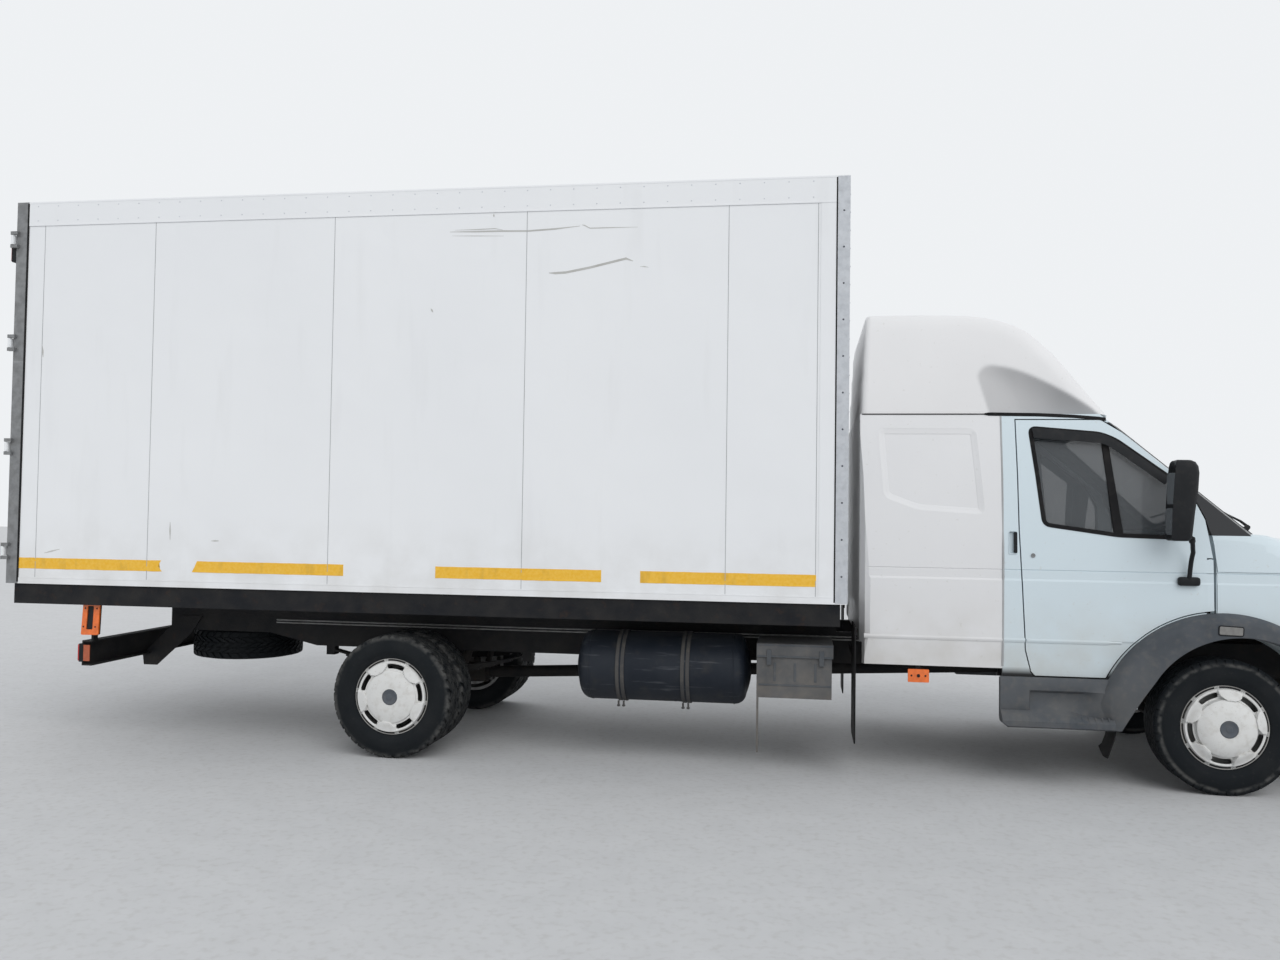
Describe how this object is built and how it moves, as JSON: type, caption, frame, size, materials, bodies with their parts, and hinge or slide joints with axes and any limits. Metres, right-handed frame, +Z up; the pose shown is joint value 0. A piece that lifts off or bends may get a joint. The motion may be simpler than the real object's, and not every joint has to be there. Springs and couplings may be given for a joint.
{
  "type": "insulated box truck",
  "caption": "Light refrigerated-body truck: bonneted sleeper cab with roof fairing, long insulated box with two rear doors, twin rear wheels, steered front wheels, opening doors and bonnet.",
  "frame": {"origin": "on the ground at the middle of the truck's length and width", "axes": "+X forwards, +Y to the truck's left, +Z up"},
  "size_m": [8.635, 2.43, 3.55],
  "materials": {
    "white_paint": "smooth pale blue-white paint",
    "white_moulding": "white gel coat",
    "box_skin": "white coated panel",
    "black_chassis": "dusty black paint",
    "grey_plastic": "faded dark grey plastic",
    "black_plastic": "black plastic",
    "galvanised": "dull zinc",
    "cast_metal": "rough casting",
    "tyre": "dusty rubber",
    "wheel_steel": "silver paint",
    "cover_plastic": "white plastic",
    "glass": "clear glass",
    "lamp_glass": "clear lens",
    "lamp_plastic": "orange and red lens",
    "seat_fabric": "dark grey cloth",
    "rubber": "black rubber sheet"
  },
  "bodies": {
    "chassis": {"arch_trims": "grey_plastic", "battery_box": "grey_plastic", "box_floor": "box_skin", "box_front_wall": "box_skin", "box_rear_frame": "galvanised", "box_roof": "box_skin", "box_subframe": "black_chassis", "box_wall_left": "box_skin", "box_wall_right": "box_skin", "bunk": "seat_fabric", "cab_floor": "black_chassis", "cab_frame": "white_paint", "crossmembers": "black_chassis", "dashboard": "black_plastic", "engine_block": "cast_metal", "exhaust": "cast_metal", "frame_rails": "black_chassis", "front_axle_beam": "cast_metal", "front_bumper": "grey_plastic", "front_wings": "white_paint", "gas_tank": "black_chassis", "grille": "black_plastic", "headlamps": "lamp_glass", "lamps": "lamp_plastic", "leaf_springs": "black_chassis", "mudflaps": "rubber", "propshaft": "black_chassis", "rear_axle": "cast_metal", "roof_fairing": "white_moulding", "seats": "seat_fabric", "sleeper_shell": "white_moulding", "spare_wheel": "tyre", "steering_wheel": "black_plastic", "underrun_bar": "black_chassis", "windscreen": "glass"},
    "bonnet": {"bonnet": "white_paint"},
    "box_door_left": {"box_door_left": "box_skin"},
    "box_door_right": {"box_door_right": "box_skin"},
    "cab_door_left": {"cab_door_left": "white_paint", "door_glass_left": "glass", "mirror_left": "black_plastic"},
    "cab_door_right": {"cab_door_right": "white_paint", "door_glass_right": "glass", "mirror_right": "black_plastic"},
    "wheel_front_left": {"front_cover_left": "cover_plastic", "front_rim_left": "wheel_steel", "front_tyre_left": "tyre"},
    "wheel_front_right": {"front_cover_right": "cover_plastic", "front_rim_right": "wheel_steel", "front_tyre_right": "tyre"},
    "knuckle_left": {"knuckle_left": "cast_metal"},
    "knuckle_right": {"knuckle_right": "cast_metal"},
    "wheel_rear_left": {"rear_cover_left": "cover_plastic", "rear_rims_left": "wheel_steel", "rear_tyres_left": "tyre"},
    "wheel_rear_right": {"rear_cover_right": "cover_plastic", "rear_rims_right": "wheel_steel", "rear_tyres_right": "tyre"},
    "tie_rod": {"tie_rod": "black_chassis"}
  },
  "joints": [
    {"name": "steer_left", "type": "hinge", "parent": "chassis", "child": "knuckle_left", "pos_m": [3.2675, 0.775, 0.3835], "axis": [0, 0, 1], "range_deg": [-35, 35]},
    {"name": "steer_right", "type": "hinge", "parent": "chassis", "child": "knuckle_right", "pos_m": [3.2675, -0.775, 0.3835], "axis": [0, 0, 1], "range_deg": [-35, 35]},
    {"name": "tie_rod_pivot", "type": "hinge", "parent": "knuckle_left", "child": "tie_rod", "pos_m": [3.1075, 0.775, 0.302], "axis": [0, 0, 1], "range_deg": [-35, 35]},
    {"name": "spin_front_left", "type": "hinge", "parent": "knuckle_left", "child": "wheel_front_left", "pos_m": [3.2675, 0.87, 0.3835], "axis": [0, 1, 0], "continuous": true},
    {"name": "spin_front_right", "type": "hinge", "parent": "knuckle_right", "child": "wheel_front_right", "pos_m": [3.2675, -0.87, 0.3835], "axis": [0, 1, 0], "continuous": true},
    {"name": "spin_rear_left", "type": "hinge", "parent": "chassis", "child": "wheel_rear_left", "pos_m": [-1.6325, 0.85, 0.3835], "axis": [0, 1, 0], "continuous": true},
    {"name": "spin_rear_right", "type": "hinge", "parent": "chassis", "child": "wheel_rear_right", "pos_m": [-1.6325, -0.85, 0.3835], "axis": [0, 1, 0], "continuous": true},
    {"name": "cab_door_left_hinge", "type": "hinge", "parent": "chassis", "child": "cab_door_left", "pos_m": [3.1875, 0.963, 1.2], "axis": [0, 0, -1], "range_deg": [0, 65]},
    {"name": "cab_door_right_hinge", "type": "hinge", "parent": "chassis", "child": "cab_door_right", "pos_m": [3.1875, -0.963, 1.2], "axis": [0, 0, 1], "range_deg": [0, 65]},
    {"name": "bonnet_hinge", "type": "hinge", "parent": "chassis", "child": "bonnet", "pos_m": [3.5885, 0, 1.458], "axis": [0, -1, 0], "range_deg": [0, 50]},
    {"name": "box_door_left_hinge", "type": "hinge", "parent": "chassis", "child": "box_door_left", "pos_m": [-4.2845, 1.164, 2.3], "axis": [0, 0, -1], "range_deg": [0, 265]},
    {"name": "box_door_right_hinge", "type": "hinge", "parent": "chassis", "child": "box_door_right", "pos_m": [-4.2845, -1.164, 2.3], "axis": [0, 0, 1], "range_deg": [0, 265]}
  ],
  "couplings": [
    {"joint": "steer_right", "follows": "steer_left", "ratio": 1},
    {"joint": "tie_rod_pivot", "follows": "steer_left", "ratio": -1}
  ]
}
